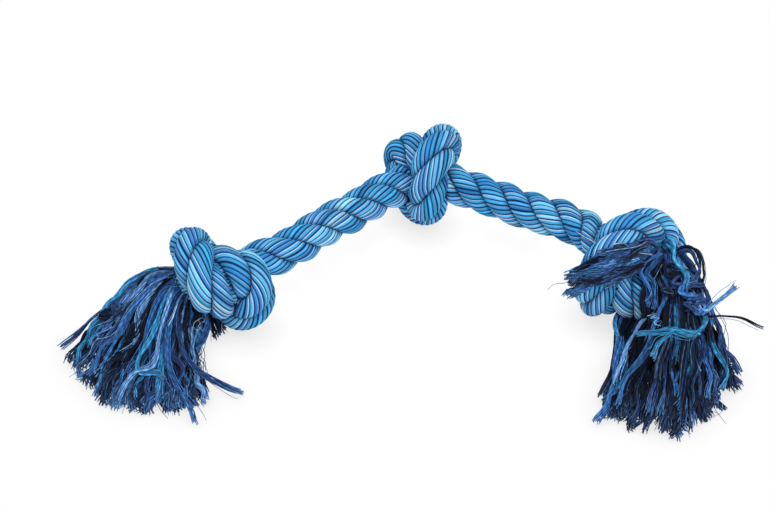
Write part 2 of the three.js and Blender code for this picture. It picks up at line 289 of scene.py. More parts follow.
def strand_rings(strand):
    """A strand's points by ring and column, its sections' middles, and its painted shade in the
    seams between turns and on its flanks.
    """
    dice = np.random.default_rng(RIDGE_SEED + strand)
    fraction = np.tile(YARN_COLUMNS, YARNS)
    yarn = np.repeat(np.arange(YARNS), len(YARN_COLUMNS))
    bold = dice.uniform(*RIDGE_SHARES, YARNS)[yarn]
    back = np.sqrt(1 - (RIDGE_WIDTH * (2 * fraction - 1)) ** 2)
    ridge = YARN_RIDGE * bold * (back - RIDGE_MEAN)
    half = math.pi / len(STRANDS)
    middle = ROPE_DIAMETER / 2 + SWELL - CROWN_RADIUS
    flank = middle * math.sin(half) - STRAND_GAP / 2
    rings, middles, shaded = [], [], []
    for i, home in enumerate(rope_line):
        angle = 2 * math.pi * (yarn + fraction) / YARNS + YARN_TURN * rope_at[i]
        angle = (angle + math.pi) % (2 * math.pi) - math.pi
        slope = np.sin(np.abs(angle) - half)
        side = np.where(slope > LEAST_SLOPE, flank / np.maximum(slope, LEAST_SLOPE), 1)
        radius = (CROWN_RADIUS**-EDGE_ROUNDING + side**-EDGE_ROUNDING) ** (-1 / EDGE_ROUNDING)
        radius = radius + ridge * (1 - ramp(np.abs(angle), *RIDGES_END))
        x, y = middle + radius * np.cos(angle), radius * np.sin(angle)
        lay = rope_lay[i] + 2 * math.pi * strand / len(STRANDS)
        across = x * math.cos(lay) - y * math.sin(lay)
        up = x * math.sin(lay) + y * math.cos(lay)
        offsets = across[:, None] * rope_normal[i] + up[:, None] * rope_binormal[i]
        near = (np.abs(rope_at - rope_at[i]) > SAME_TURN) & (
            np.linalg.norm(rope_line - home, axis=1) < NEAR_TURN
        )
        share = press_share(offsets, home, rope_line[near])
        offsets *= share[:, None]
        # Painted shade: darker where another turn presses in, and on the flanks towards the next
        # strand.
        shaded.append(np.maximum(
            SEAM_SHADE * ramp(1 - share, 0, SEAM_DEPTH),
            FLANK_SHADE * ramp(np.abs(angle), *FLANK_ANGLES)))
        ring = home + offsets
        ring[:, 2] = np.maximum(ring[:, 2], 0)
        rings.append(ring)
        middles.append(
            home + middle * (math.cos(lay) * rope_normal[i] + math.sin(lay) * rope_binormal[i])
        )
    return np.array(rings), np.array(middles), np.array(shaded)


def strand_dyes_and_painted_light(strand):
    """The colour of each column of a strand: its yarns' dyes, pale lines that are partly painted
    highlights, and furrows darkened with painted shade.
    """
    dice = np.random.default_rng(DYE_SEED + strand)
    dyes, shares = np.array([d for d, _ in YARN_DYES]), np.array([s for _, s in YARN_DYES])
    chosen = dyes[dice.choice(len(dyes), YARNS, p=shares / shares.sum())]
    chosen = np.clip(chosen * dice.uniform(*YARN_BRIGHTNESS, (YARNS, 1)), 0, 1)
    depth, width = dice.uniform(*FURROW_STRENGTH, YARNS), dice.uniform(*FURROW_WIDTH, YARNS)
    pale = dice.uniform(*PALE_STRENGTH, YARNS) * (dice.uniform(size=YARNS) < PALE_YARNS)
    colours = []
    for y in range(YARNS):
        for u in YARN_COLUMNS:
            furrow = y if u < 0.5 else (y + 1) % YARNS
            edge = width[furrow] / 2
            # The furrows at a yarn's edges are darkened with painted shade.
            dark = depth[furrow] * (1 - ramp(min(u, 1 - u), edge, edge + FURROW_EDGE))
            # The pale line is partly pale fibres, partly a painted highlight.
            line = pale[y] * math.exp(-(((u - PALE_PLACE) / PALE_WIDTH) ** 2))
            colour = chosen[y] * (1 - dark) + np.array(FURROW_SHADE) * dark
            colours.append(colour * (1 - line) + np.array(PALE_DYE_AND_HIGHLIGHT) * line)
    return linear(colours)


def cotton_fibre():
    """A node group for spun cotton: the shade of its fibres' random tone with the painted light and
    shade of its plies, and the height of both.
    """
    group = bpy.data.node_groups.new("cotton_fibre", "ShaderNodeTree")
    face = group.interface
    for name in ("Fibre Scale", "Stretch", "Contrast", "Ply Depth"):
        face.new_socket(name, in_out="INPUT", socket_type="NodeSocketFloat")
    face.new_socket("Shade", in_out="OUTPUT", socket_type="NodeSocketFloat")
    face.new_socket("Height", in_out="OUTPUT", socket_type="NodeSocketFloat")
    nodes, links = group.nodes, group.links
    given, made = nodes.new("NodeGroupInput"), nodes.new("NodeGroupOutput")
    place = nodes.new("ShaderNodeUVMap")
    place.uv_map = "yarn"
    stretch = nodes.new("ShaderNodeCombineXYZ")
    links.new(given.outputs["Fibre Scale"], stretch.inputs["X"])
    links.new(given.outputs["Stretch"], stretch.inputs["Y"])
    scaled = nodes.new("ShaderNodeVectorMath")
    scaled.operation = "MULTIPLY"
    links.new(place.outputs["UV"], scaled.inputs[0])
    links.new(stretch.outputs["Vector"], scaled.inputs[1])
    fibres = nodes.new("ShaderNodeTexNoise")
    fibres.inputs["Scale"].default_value = 1
    fibres.inputs["Detail"].default_value = 4
    fibres.inputs["Roughness"].default_value = 0.65
    links.new(scaled.outputs["Vector"], fibres.inputs["Vector"])
    centred = nodes.new("ShaderNodeMath")
    centred.operation = "SUBTRACT"
    centred.inputs[1].default_value = 0.5
    links.new(fibres.outputs["Fac"], centred.inputs[0])
    shade = nodes.new("ShaderNodeMath")
    shade.operation = "MULTIPLY_ADD"
    shade.inputs[2].default_value = 1
    links.new(centred.outputs[0], shade.inputs[0])
    links.new(given.outputs["Contrast"], shade.inputs[1])
    # The plies: a wave along a thread that lightens and darkens its colour as painted light and
    # shade of the twisted plies, and also raises its bump.
    along = nodes.new("ShaderNodeSeparateXYZ")
    links.new(place.outputs["UV"], along.inputs[0])
    plies = nodes.new("ShaderNodeMath")
    plies.operation = "MULTIPLY"
    plies.inputs[1].default_value = 2 * math.pi / PLY_PITCH
    links.new(along.outputs["Y"], plies.inputs[0])
    wave = nodes.new("ShaderNodeMath")
    wave.operation = "SINE"
    links.new(plies.outputs[0], wave.inputs[0])
    for name, fibre in (("Shade", shade.outputs[0]), ("Height", fibres.outputs["Fac"])):
        total = nodes.new("ShaderNodeMath")
        total.operation = "MULTIPLY_ADD"
        links.new(wave.outputs[0], total.inputs[0])
        links.new(given.outputs["Ply Depth"], total.inputs[1])
        links.new(fibre, total.inputs[2])
        links.new(total.outputs[0], made.inputs[name])
    return group


fibre_group = cotton_fibre()
FIBRE_HEIGHT = 0.0004


def cotton_material(name, fibre_scale, stretch, contrast, ply_depth, bump):
    """Matt dyed cotton whose colour, with the rope's painted shade and highlights, is in the mesh,
    broken up by its fibres and by the painted light and shade of its plies.
    """
    material = bpy.data.materials.new(name)
    material.use_nodes = True
    nodes, links = material.node_tree.nodes, material.node_tree.links
    shader = nodes["Principled BSDF"]
    shader.inputs["Roughness"].default_value = 0.88
    shader.inputs["Specular IOR Level"].default_value = 0.15
    shader.inputs["Sheen Weight"].default_value = 0.04
    shader.inputs["Sheen Roughness"].default_value = 0.5
    dye_and_shade = nodes.new("ShaderNodeAttribute")
    dye_and_shade.attribute_name = "dye_and_shade"
    fibre = nodes.new("ShaderNodeGroup")
    fibre.node_tree = fibre_group
    fibre.inputs["Fibre Scale"].default_value = fibre_scale
    fibre.inputs["Stretch"].default_value = stretch
    fibre.inputs["Contrast"].default_value = contrast
    fibre.inputs["Ply Depth"].default_value = ply_depth
    coloured = nodes.new("ShaderNodeVectorMath")
    coloured.operation = "SCALE"
    links.new(dye_and_shade.outputs["Color"], coloured.inputs[0])
    links.new(fibre.outputs["Shade"], coloured.inputs["Scale"])
    links.new(coloured.outputs["Vector"], shader.inputs["Base Color"])
    height = nodes.new("ShaderNodeBump")
    height.inputs["Strength"].default_value = bump
    height.inputs["Distance"].default_value = FIBRE_HEIGHT
    links.new(fibre.outputs["Height"], height.inputs["Height"])
    links.new(height.outputs["Normal"], shader.inputs["Normal"])
    return material


laid_cotton = cotton_material(
    "laid_cotton", fibre_scale=7, stretch=260, contrast=1.1, ply_depth=0, bump=0.6)


def cotton_piece(name, points, faces, dyes, coordinates, material):
    """A mesh piece with a colour for each point, painted shade and highlights included on the rope,
    and a yarn coordinate for each face corner.
    """
    mesh = bpy.data.meshes.new(name)
    mesh.from_pydata(points.tolist(), [], faces)
    colours = mesh.attributes.new("dye_and_shade", "FLOAT_COLOR", "POINT")
    colours.data.foreach_set("color", np.c_[dyes, np.ones(len(dyes))].astype(np.float32).ravel())
    layer = mesh.uv_layers.new(name="yarn")
    layer.uv.foreach_set("vector", np.asarray(coordinates, np.float32).ravel())
    mesh.shade_smooth()
    mesh.materials.append(material)
    mesh.update()
    piece = bpy.data.objects.new(name, mesh)
    bpy.context.scene.collection.objects.link(piece)
    return piece


def strand_piece(name, rings, normals, dyes, at):
    """A closed stretch of a strand between two of its rings, shaded as the whole strand is."""
    count, size = rings.shape[:2]
    points = np.vstack([rings.reshape(-1, 3), rings[0].mean(0), rings[-1].mean(0)])
    ring, column = np.meshgrid(np.arange(count - 1), np.arange(size), indexing="ij")
    ring, column = ring.ravel(), column.ravel()
    beside = (column + 1) % size
    sides = np.stack(
        [ring * size + column, ring * size + beside,
         (ring + 1) * size + beside, (ring + 1) * size + column], axis=1)
    wide = np.concatenate([(np.arange(YARNS)[:, None] + YARN_COLUMNS).ravel(), [YARNS]])
    u0, u1, v0, v1 = wide[column], wide[column + 1], at[ring], at[ring + 1]
    corners = np.stack([u0, v0, u1, v0, u1, v1, u0, v1], axis=1).reshape(-1, 2)
    j = np.arange(size)
    first = np.stack([(j + 1) % size, j, np.full(size, count * size)], axis=1)
    last = np.stack([j, (j + 1) % size, np.full(size, count * size + 1)], axis=1)
    last[:, :2] += (count - 1) * size
    cap = np.stack([wide[j], wide[j], wide[j] + 0.5], axis=1).repeat(2, axis=1).reshape(-1, 2)
    coordinates = np.vstack([corners, cap, cap])
    colour = np.vstack([dyes.reshape(-1, 3), dyes[0].mean(0), dyes[-1].mean(0)])
    faces = [*sides.tolist(), *first.tolist(), *last.tolist()]
    piece = cotton_piece(name, points, faces, colour, coordinates, laid_cotton)
    ends = unit(np.array([rings[0] - rings[1], rings[-1] - rings[-2]]).mean(1))
    piece.data.normals_split_custom_set_from_vertices(np.vstack([normals.reshape(-1, 3), ends]))
    return piece


joint_at = {j["name"]: np.array(j["pos_m"]) for j in frame["joints"]}


def ring_at(point):
    """The ring of the rope whose middle is nearest to a point."""
    return int(np.linalg.norm(rope_line - point, axis=1).argmin())


left_knot_bend, left_span_bend, right_span_bend, right_knot_bend = (
    ring_at(joint_at[name])
    for name in ("left_knot_lift", "left_span_sway", "right_span_sway", "right_knot_lift")
)
KNOT_FROM_BEND = 0.034  # along the rope, to where the middle knot's own piece begins
LEFT_UNLAID, RIGHT_UNLAID = 0.012, 0.018  # of the rope's ends, where the tassels begin
MOUTH_RINGS = 6  # from a strand's end to where its lock's yarns start inside it
into_knot = round(KNOT_FROM_BEND / RING_STEP)
left_part = (left_knot_bend + left_span_bend) // 2
right_part = (right_span_bend + right_knot_bend) // 2
left_cut = round(LEFT_UNLAID / RING_STEP)
right_cut = len(rope_line) - 1 - round(RIGHT_UNLAID / RING_STEP)
stretches = [  # name, first and last ring, the CAD stretches it stands for, bodies, bend
    ("left_end", left_cut, left_part, ["left_knot"], ("left_span", "left_knot"), left_knot_bend),
    ("left_rope", left_part, left_span_bend + into_knot, ["left_span"],
     ("middle_knot", "left_span"), left_span_bend),
    ("middle", left_span_bend + into_knot, right_span_bend - into_knot, ["middle_knot"],
     ("middle_knot",), None),
    ("right_rope", right_span_bend - into_knot, right_part, ["right_span"],
     ("middle_knot", "right_span"), right_span_bend),
    ("right_end", right_part, right_cut, ["right_knot"], ("right_span", "right_knot"),
     right_knot_bend),
]
mouths = {}  # of each strand at each end: its middle there, and further in
for strand, letter in enumerate(STRANDS):
    rings, middles, shaded = strand_rings(strand)
    across = np.roll(rings, -1, axis=1) - np.roll(rings, 1, axis=1)
    normals = unit(np.cross(across, np.gradient(rings, axis=0)) + 1e-12)
    mouths["left", letter] = middles[[left_cut, left_cut + MOUTH_RINGS]]
    mouths["right", letter] = middles[[right_cut, right_cut - MOUTH_RINGS]]
    # The painted shade of the seams between turns and of the flanks is laid into the colour.
    painted_shade = shaded[..., None]
    dyes = strand_dyes_and_painted_light(strand) * (1 - painted_shade) + linear(FURROW_SHADE) * painted_shade
    for name, first, last, stands_for, bodies, bend in stretches:
        part = slice(first, last + 1)
        piece = strand_piece(
            f"{name}_strand_{letter}", rings[part], normals[part], dyes[part], rope_at[part])
        if bend is None:
            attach(piece, bodies[0])
        else:
            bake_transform(piece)
        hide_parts(*(f"{stretch}_strand_{letter}" for stretch in stands_for))


# ---- The frayed tassels
# At each mouth the strands are unlaid, and every strand opens into a lock of soft flat yarns
# that fray at their tips. The locks aren't sewn or bound: they are the strands' own ends.
THREADS = 13  # in a yarn
FLYAWAYS = 1  # loose fibres beside a yarn
THREAD_RINGS = 26
THREAD_SIDES = 3
THREAD_RADIUS = 0.00052
THREAD_SIZES = (0.85, 1.15)  # of that radius
THREAD_ENDS = (0.97, 1)  # where the threads of a yarn end along it
THREAD_TINTS = (0.7, 1.3)  # brightness of its dye
FLYAWAY_SIZE = 0.45  # of a thread's radius
FLYAWAY_REACH = 1.2  # of the yarn's width
THREAD_STRAY, FLYAWAY_STRAY = (0.0011, 0.65), (0.0026, 0.2)  # how far, and from where along it
STRAY_SHARE = 0.5  # along a thread, over which it strays
YARN_WIDTH = 0.0019  # from its middle to its edge
YARN_WIDTHS = (0.7, 1.2)  # of that width
YARN_FLATNESS = 0.5
YARN_PLIES = 2
YARN_LEAN = 0.7  # radians, at most, of its flat side
YARN_FRAY = (0.3, 1.2)  # how much wider a yarn's tip is
LOOSE_FRAY = (0.3, 0.8)
FRAY_POWER = 1.5
YARN_TWIST = 0.02  # along a yarn, for one radian of its threads
YARN_ROLL = 0.12  # along a yarn, for one turn of its flat side
GOLDEN_TURN = 2.4  # radians from one thread to the next one
TURN_SPREAD = 0.3
YARN_WAVES = ((0.0038, 0.5, 1.3), (0.0019, 2.5, 5.5))  # size, fewest and most
LOOSE_WAVES, FINE_WAVES = ((0.0010, 2, 5),), ((0.0004, 2, 5),)
WAVE_POWER = 0.8  # by which the waves grow towards a yarn's tip
WAVE_RISE = 0.5  # of a wave's swing to the sides
FINE_THREADS = 4  # at most, in a yarn that waves little
BRUSH_FROM, BLEACH_FROM, TAPER_FROM = 0.85, 0.84, 0.9  # along a thread, up to its tip
TAPER = 0.4
MIXED_THREADS = 0.18  # share of the threads that take on half of another dye
PALE_FLYAWAYS = 0.1
LOCK_ROOT = 0.0055  # from the middle of a strand's end to its outermost yarns
ROOT_FLATNESS = 0.7
ROOT_NEAR = 0.02  # of the strand's end, for a yarn that starts in it
ROOT_SHARE = 0.3  # along a yarn, over which it is drawn in to the strand's end
SUNK_SHARE = 0.5  # along a yarn, over which it sinks into its layer
TOP_HEAVY = 0.7  # power that puts more of the yarns near the top of a lock
HANGING = 0.5  # a lock whose lowest layer is under this share of its height hangs down
LOCK_STEPS = 40
LOCK_SEED = 300
PATTERN_STEP = 3.7  # from one thread to the next one in the fibre pattern
STEEP = 0.9  # upward share of a thread's direction
NAVY, DENIM, BLUE = (0.04, 0.07, 0.15), (0.17, 0.28, 0.48), (0.21, 0.42, 0.67)
LIGHT, CYAN, PALE = (0.42, 0.61, 0.82), (0.21, 0.57, 0.76), (0.70, 0.81, 0.92)
NAVY_BLEACH, BLEACH = (0.15, 0.6), (0.3, 0.85)  # how far the yarns' ends are bleached
DEEP_NAVY_AND_SHADE = 4  # how many times the navy yarns' share is larger at the bottom of a lock, partly navy yarns and partly painted shade inside the lock
LOCK_DYES = {  # share of the yarns
    "left": [(NAVY, 0.21), (DENIM, 0.28), (BLUE, 0.27), (LIGHT, 0.13), (CYAN, 0.11)],
    "right": [(NAVY, 0.42), (DENIM, 0.28), (BLUE, 0.19), (LIGHT, 0.06), (CYAN, 0.05)],
    "thrown_back": [(NAVY, 0.20), (DENIM, 0.40), (BLUE, 0.28), (LIGHT, 0.06), (CYAN, 0.06)],
}
FILLING = 26  # more yarns low down in a lock, which close the gaps
FILLING_HEIGHT = 0.3  # of the lock's
HIGH_LAYER = 0.8  # of a lock's height, above which its yarns are of mixed lengths
LONG, MIXED = (0.84, 1.01), (0.6, 1.0)  # lengths of the yarns, as shares of their routes
LEFT_FAN = np.array([  # the top layer of the left tassel from its left edge to its right edge
    [(-140, -96, 44), (-154, -92, 43), (-167, -96, 38), (-180, -106, 30), (-195, -116, 18),
     (-210, -138, 5)],
    [(-141, -95, 40), (-157, -97, 40), (-168, -109, 33), (-180, -125, 22), (-190, -140, 9),
     (-193, -160, 3)],
    [(-141, -94, 36), (-155, -103, 36), (-163, -121, 29), (-172, -141, 17), (-179, -161, 7),
     (-180, -174, 3)],
    [(-140, -94, 33), (-151, -110, 33), (-156, -133, 26), (-162, -152, 15), (-166, -168, 6),
     (-168, -178, 3)],
    [(-138, -94, 30), (-145, -113, 29), (-149, -138, 22), (-150, -155, 14), (-150, -168, 7),
     (-150, -180, 3)],
    [(-136, -94, 27), (-139, -114, 26), (-141, -136, 20), (-140, -154, 13), (-137, -168, 7),
     (-133, -178, 3)],
    [(-133, -93, 24), (-132, -109, 21), (-134, -124, 15), (-134, -140, 10), (-131, -156, 6),
     (-127, -168, 3)],
    [(-131, -94, 22), (-128, -108, 16), (-130, -119, 11), (-133, -134, 8), (-132, -151, 5),
     (-129, -166, 3)],
])
RIGHT_FAN = np.array([
    [(146, -90, 12), (133, -99, 9), (128, -111, 11), (128, -130, 12), (124, -156, 8),
     (112, -185, 3)],
    [(155, -92, 37), (152, -104, 30), (146, -111, 18), (138, -122, 12), (129, -144, 9),
     (117, -185, 3)],
    [(156, -92, 38), (154, -110, 36), (149, -126, 29), (140, -143, 20), (130, -168, 10),
     (124, -189, 3)],
    [(158, -92, 39), (156, -114, 39), (153, -134, 34), (147, -156, 25), (142, -177, 11),
     (137, -198, 3)],
    [(160, -91, 40), (161, -116, 41), (159, -139, 36), (155, -161, 27), (152, -181, 11),
     (148, -201, 3)],
    [(162, -90, 41), (166, -116, 43), (167, -140, 37), (165, -163, 26), (165, -181, 11),
     (164, -192, 3)],
    [(164, -88, 42), (171, -112, 44), (176, -134, 37), (179, -153, 25), (180, -170, 11),
     (181, -182, 3)],
    [(166, -85, 43), (176, -105, 44), (182, -124, 36), (188, -142, 24), (190, -153, 11),
     (193, -164, 3)],
    [(168, -81, 44), (177, -94, 46), (180, -111, 38), (185, -127, 27), (193, -140, 14),
     (203, -154, 4)],
])
KNOT_FAN = np.array([  # the lock that is thrown back over the right knot
    [(161, -83, 46), (152, -83, 55), (136, -96, 62), (121, -101, 62), (110, -101, 54),
     (98, -97, 42)],
    [(161, -87, 46), (152, -86, 52), (136, -96, 57), (120, -104, 58), (108, -105, 50),
     (94, -103, 37)],
    [(160, -89, 45), (151, -91, 48), (133, -103, 53), (117, -111, 55), (105, -110, 45),
     (90, -107, 31)],
    [(159, -91, 43), (149, -95, 45), (134, -104, 47), (120, -113, 51), (109, -114, 43),
     (96, -109, 29)],
])
LOCKS = {  # routes, yarns, the lowest layer as a share of the top layer's height, dyes
    ("left", "a"): (LEFT_FAN[4:], 34, 0.15, "left"),
    ("left", "b"): (LEFT_FAN[:4], 40, 0.15, "left"),
    ("left", "c"): (LEFT_FAN[2:6], 40, 0.15, "left"),
    ("right", "a"): (RIGHT_FAN[4:], 44, 0.15, "right"),
    ("right", "b"): (KNOT_FAN, 40, 0.92, "thrown_back"),
    ("right", "c"): (RIGHT_FAN[:6], 50, 0.15, "right"),
}
# Single yarns that lie across the others: dye, threads, width in mm, route. One without threads
# is a lone loose fibre.
LOOSE_YARNS = {
    ("left", "a"): [
        (DENIM, 13, 2.0, [(-140, -95, 30), (-142, -124, 28), (-137, -144, 20),
                          (-127, -156, 14), (-119, -159, 9), (-110, -161, 6), (-100, -164, 3)]),
        (LIGHT, 13, 1.9, [(-134, -125, 20), (-131, -145, 14), (-128, -158, 9), (-124, -166, 5),
                          (-121, -172, 3)]),
        (BLUE, 14, 1.8, [(-139, -95, 30), (-146, -118, 28), (-147, -146, 22), (-137, -170, 10),
                         (-126, -188, 2)]),
        # These three navy yarns under the knot's lobe are partly real yarns and partly a painted
        # shadow under the knot.
        (NAVY, 13, 2.0, [(-129, -96, 22), (-124, -100, 14), (-120, -104, 9), (-117, -107, 6),
                         (-115, -109, 3)]),
        (NAVY, 13, 2.0, [(-129, -95, 20), (-124, -101, 12), (-121, -107, 8), (-119, -111, 5),
                         (-118, -115, 3)]),
        (NAVY, 13, 2.0, [(-129, -95, 18), (-126, -102, 11), (-124, -109, 8), (-122, -113, 5),
                         (-121, -117, 3)]),
        (PALE, 2, 0.4, [(-132, -102, 30), (-138, -109, 35), (-142, -120, 34), (-144, -128, 31),
                        (-147, -132, 28)]),
        (PALE, 0, 0.3, [(-133, -121, 19), (-130, -121, 22), (-128, -125, 21), (-131, -128, 19),
                        (-134, -125, 20), (-131, -121, 22), (-129, -123, 21), (-132, -127, 20),
                        (-130, -131, 19)]),
    ],
    ("left", "b"): [
        (DENIM, 10, 1.2, [(-140, -96, 43), (-161, -95, 40), (-180, -106, 27), (-202, -115, 12),
                          (-217, -127, 2)]),
        (CYAN, 13, 1.9, [(-155, -95, 42), (-168, -99, 39), (-182, -110, 30), (-195, -122, 18),
                         (-203, -135, 8), (-205, -142, 4)]),
        (BLUE, 13, 2.0, [(-150, -100, 41), (-160, -112, 40), (-170, -130, 34),
                         (-177, -143, 29), (-185, -145, 24), (-190, -149, 14), (-195, -153, 6)]),
        (NAVY, 13, 2.6, [(-150, -100, 20), (-168, -113, 10), (-180, -123, 6), (-190, -135, 4)]),
    ],
    ("left", "c"): [
        (CYAN, 12, 1.5, [(-143, -96, 37), (-150, -115, 34), (-156, -144, 28), (-163, -155, 22),
                         (-161, -161, 18), (-152, -161, 17), (-146, -164, 14)]),
        (LIGHT, 12, 1.5, [(-146, -108, 35), (-150, -138, 31), (-154, -159, 21),
                          (-164, -161, 18), (-170, -167, 13), (-174, -174, 5)]),
        (NAVY, 13, 2.6, [(-146, -110, 20), (-152, -132, 12), (-158, -155, 6), (-160, -168, 4)]),
    ],
    ("right", "a"): [
        (LIGHT, 14, 1.8, [(168, -112, 38), (172, -124, 42), (176, -133, 41), (183, -128, 42),
                          (189, -123, 44), (198, -117, 47)]),
        (NAVY, 3, 0.6, [(166, -108, 40), (174, -120, 42), (178, -132, 37), (191, -127, 32),
                        (202, -125, 28), (218, -126, 20)]),
        (CYAN, 14, 1.9, [(176, -126, 34), (176, -140, 40), (168, -152, 41), (152, -152, 44),
                         (134, -149, 38)]),
        (CYAN, 12, 1.6, [(160, -74, 44), (161, -82, 53), (163, -94, 53), (166, -108, 49),
                         (168, -117, 45)]),
        (NAVY, 5, 0.7, [(164, -84, 42), (170, -83, 49), (176, -86, 50), (179, -96, 47),
                        (176, -109, 44), (178, -122, 39)]),
        (NAVY, 5, 0.7, [(164, -85, 40), (171, -82, 47), (179, -87, 49), (181, -99, 45),
                        (178, -113, 41)]),
        (DENIM, 9, 1.3, [(163, -86, 41), (168, -88, 49), (174, -91, 51), (177, -101, 48),
                         (174, -112, 45)]),
        (NAVY, 13, 2.4, [(162, -112, 43), (163, -140, 40), (161, -165, 28), (160, -190, 6)]),
        (NAVY, 13, 2.4, [(167, -112, 44), (168, -140, 39), (167, -165, 27), (166, -184, 6)]),
    ],
    ("right", "b"): [
        (PALE, 1, 0.3, [(150, -92, 50), (138, -98, 58), (129, -97, 64), (121, -94, 58),
                        (114, -77, 48), (108, -62, 41)]),
        (BLUE, 13, 1.7, [(155, -89, 48), (147, -94, 47), (142, -101, 44), (145, -108, 41),
                         (148, -113, 36), (145, -118, 31)]),
        (NAVY, 9, 1.2, [(154, -89, 47), (146, -95, 46), (138, -99, 44), (134, -102, 40),
                        (128, -106, 36), (120, -110, 32)]),
    ],
    ("right", "c"): [
        (BLUE, 13, 1.8, [(156, -88, 48), (150, -95, 46), (146, -103, 43), (149, -110, 39),
                         (151, -114, 34), (148, -119, 29)]),
        (NAVY, 13, 2.2, [(156, -88, 47), (149, -98, 43), (145, -109, 39), (143, -116, 33),
                         (143, -119, 25), (144, -122, 17)]),
        (NAVY, 13, 2.0, [(157, -88, 46), (151, -99, 41), (148, -108, 36), (147, -116, 31),
                         (147, -120, 24), (147, -124, 16)]),
        (NAVY, 13, 2.2, [(158, -86, 47), (156, -92, 44), (154, -99, 38), (155, -104, 31),
                         (155, -112, 25), (154, -124, 24)]),
        (NAVY, 13, 2.0, [(157, -88, 47), (152, -95, 44), (150, -102, 38), (151, -108, 32),
                         (151, -115, 27), (148, -125, 24)]),
        (DENIM, 13, 2.0, [(160, -88, 47), (160, -94, 44), (159, -103, 39), (157, -112, 34),
                          (157, -124, 32), (157, -136, 32)]),
        (NAVY, 13, 2.6, [(158, -95, 20), (150, -130, 14), (147, -155, 9), (145, -182, 4)]),
        (NAVY, 13, 2.6, [(166, -95, 22), (174, -128, 15), (178, -155, 9), (180, -172, 4)]),
        (BLUE, 13, 1.9, [(156, -118, 41), (150, -130, 37), (144, -145, 32), (138, -155, 25),
                         (129, -165, 17), (121, -178, 8)]),
        (LIGHT, 8, 1.2, [(150, -112, 20), (141, -126, 24), (134, -139, 25), (130, -146, 21),
                         (125, -157, 16), (122, -166, 12)]),
        (BLUE, 13, 1.9, [(128, -132, 19), (124, -150, 15), (121, -165, 9), (116, -177, 6),
                         (110, -188, 3)]),
        (CYAN, 12, 1.6, [(171, -151, 41), (161, -151, 43), (152, -154, 44), (146, -160, 41),
                         (140, -165, 36)]),
        (LIGHT, 0, 0.3, [(141, -139, 43), (145, -141, 46), (142, -143, 45), (147, -144, 46),
                         (144, -148, 45), (148, -149, 44)]),
        (LIGHT, 0, 0.3, [(147, -138, 43), (143, -140, 47), (146, -142, 46), (142, -146, 45),
                         (146, -147, 46), (143, -151, 44)]),
    ],
}
TANGLE_YARN = (9, 0.0013, 0.6)  # threads, width and fray of a yarn that is curled up
CURL_POINTS = 6
CURL_SIZES = (0.5, 1)  # of its reach
CURL_SHAPE = (1, 1, 0.4)
TANGLES = {  # their dye, reach in mm and middle
    ("left", "b"): [(NAVY, 6, (-184, -117, 27)), (NAVY, 5, (-187, -119, 24)),
                    (DENIM, 6, (-180, -116, 28))],
    ("right", "a"): [
        (DENIM, 9, (166, -110, 45)), (NAVY, 8, (161, -104, 46)), (DENIM, 8, (171, -113, 45)),
        (BLUE, 9, (166, -122, 45)), (DENIM, 9, (171, -124, 44)), (NAVY, 9, (160, -117, 45)),
        (BLUE, 7, (174, -130, 42)), (DENIM, 8, (165, -130, 44)),
    ],
}


def thread_piece(name, lines, radii, dyes, slants, material):
    """Thin closed threads along many lines of as many points each, as one mesh."""
    count, size = lines.shape[:2]
    ahead = unit(np.gradient(lines, axis=1))
    start = np.where(np.abs(ahead[:, :1, 2]) < STEEP, (0, 0, 1), (1, 0, 0))
    side = np.cross(ahead[:, 0], start)
    turned = np.empty((count, size, 2, 3))
    for k in range(size):
        side = unit(side - (side * ahead[:, k]).sum(1, keepdims=True) * ahead[:, k])
        turned[:, k, 0], turned[:, k, 1] = side, np.cross(ahead[:, k], side)
    angle = 2 * math.pi * np.arange(THREAD_SIDES) / THREAD_SIDES
    circle = np.stack([np.cos(angle), np.sin(angle)], axis=1)
    around = np.einsum("sc,tkcx->tksx", circle, turned)
    points = lines[:, :, None] + radii[:, :, None, None] * around
    points[..., 2] = np.maximum(points[..., 2], 0)
    index = np.arange(count * size * THREAD_SIDES).reshape(count, size, THREAD_SIDES)
    beside = np.roll(index, -1, axis=2)
    sides = np.stack(
        [index[:, :-1], beside[:, :-1], beside[:, 1:], index[:, 1:]], axis=-1).reshape(-1, 4)
    caps = np.vstack([index[:, 0, ::-1], index[:, -1]])
    faces = [*sides.tolist(), *caps.tolist()]
    along = np.concatenate(
        [np.zeros((count, 1)), np.cumsum(np.linalg.norm(np.diff(lines, axis=1), axis=2), axis=1)],
        axis=1)
    v = np.broadcast_to((along + slants[:, None])[:, :, None], index.shape)
    u = np.broadcast_to((np.arange(count) * PATTERN_STEP)[:, None, None], index.shape)
    step = 1 / THREAD_SIDES
    turn = np.broadcast_to(np.arange(THREAD_SIDES) * step, index.shape)
    left, right = u + turn, u + turn + step
    corners = np.stack(
        [left[:, :-1], v[:, :-1], right[:, :-1], v[:, :-1],
         right[:, 1:], v[:, 1:], left[:, 1:], v[:, 1:]], axis=-1).reshape(-1, 2)
    ends = np.stack([u + turn, v], axis=-1)
    caps_at = np.vstack([ends[:, 0, ::-1].reshape(-1, 2), ends[:, -1].reshape(-1, 2)])
    colours = np.repeat(dyes.reshape(-1, 3), THREAD_SIDES, axis=0)
    return cotton_piece(name, points.reshape(-1, 3), faces, colours,
                        np.vstack([corners, caps_at]), material)


frayed_cotton = cotton_material(
    "frayed_cotton", fibre_scale=3, stretch=400, contrast=0.6, ply_depth=0.3, bump=0.5)
NEARLY_UP = (0.05, 0.02, 1)  # which no yarn runs along


def at_shares(line, shares):
    """Points of an evenly spaced line at shares of its length, and straight on past its end."""
    place = np.clip(shares, 0, None) * (len(line) - 1)
    low = np.minimum(place.astype(int), len(line) - 2)
    return line[low] + (place - low)[..., None] * (line[low + 1] - line[low])


def sideways(line):
    """The level direction across a line at each point."""
    return unit(np.cross(NEARLY_UP, unit(np.gradient(line, axis=0))))


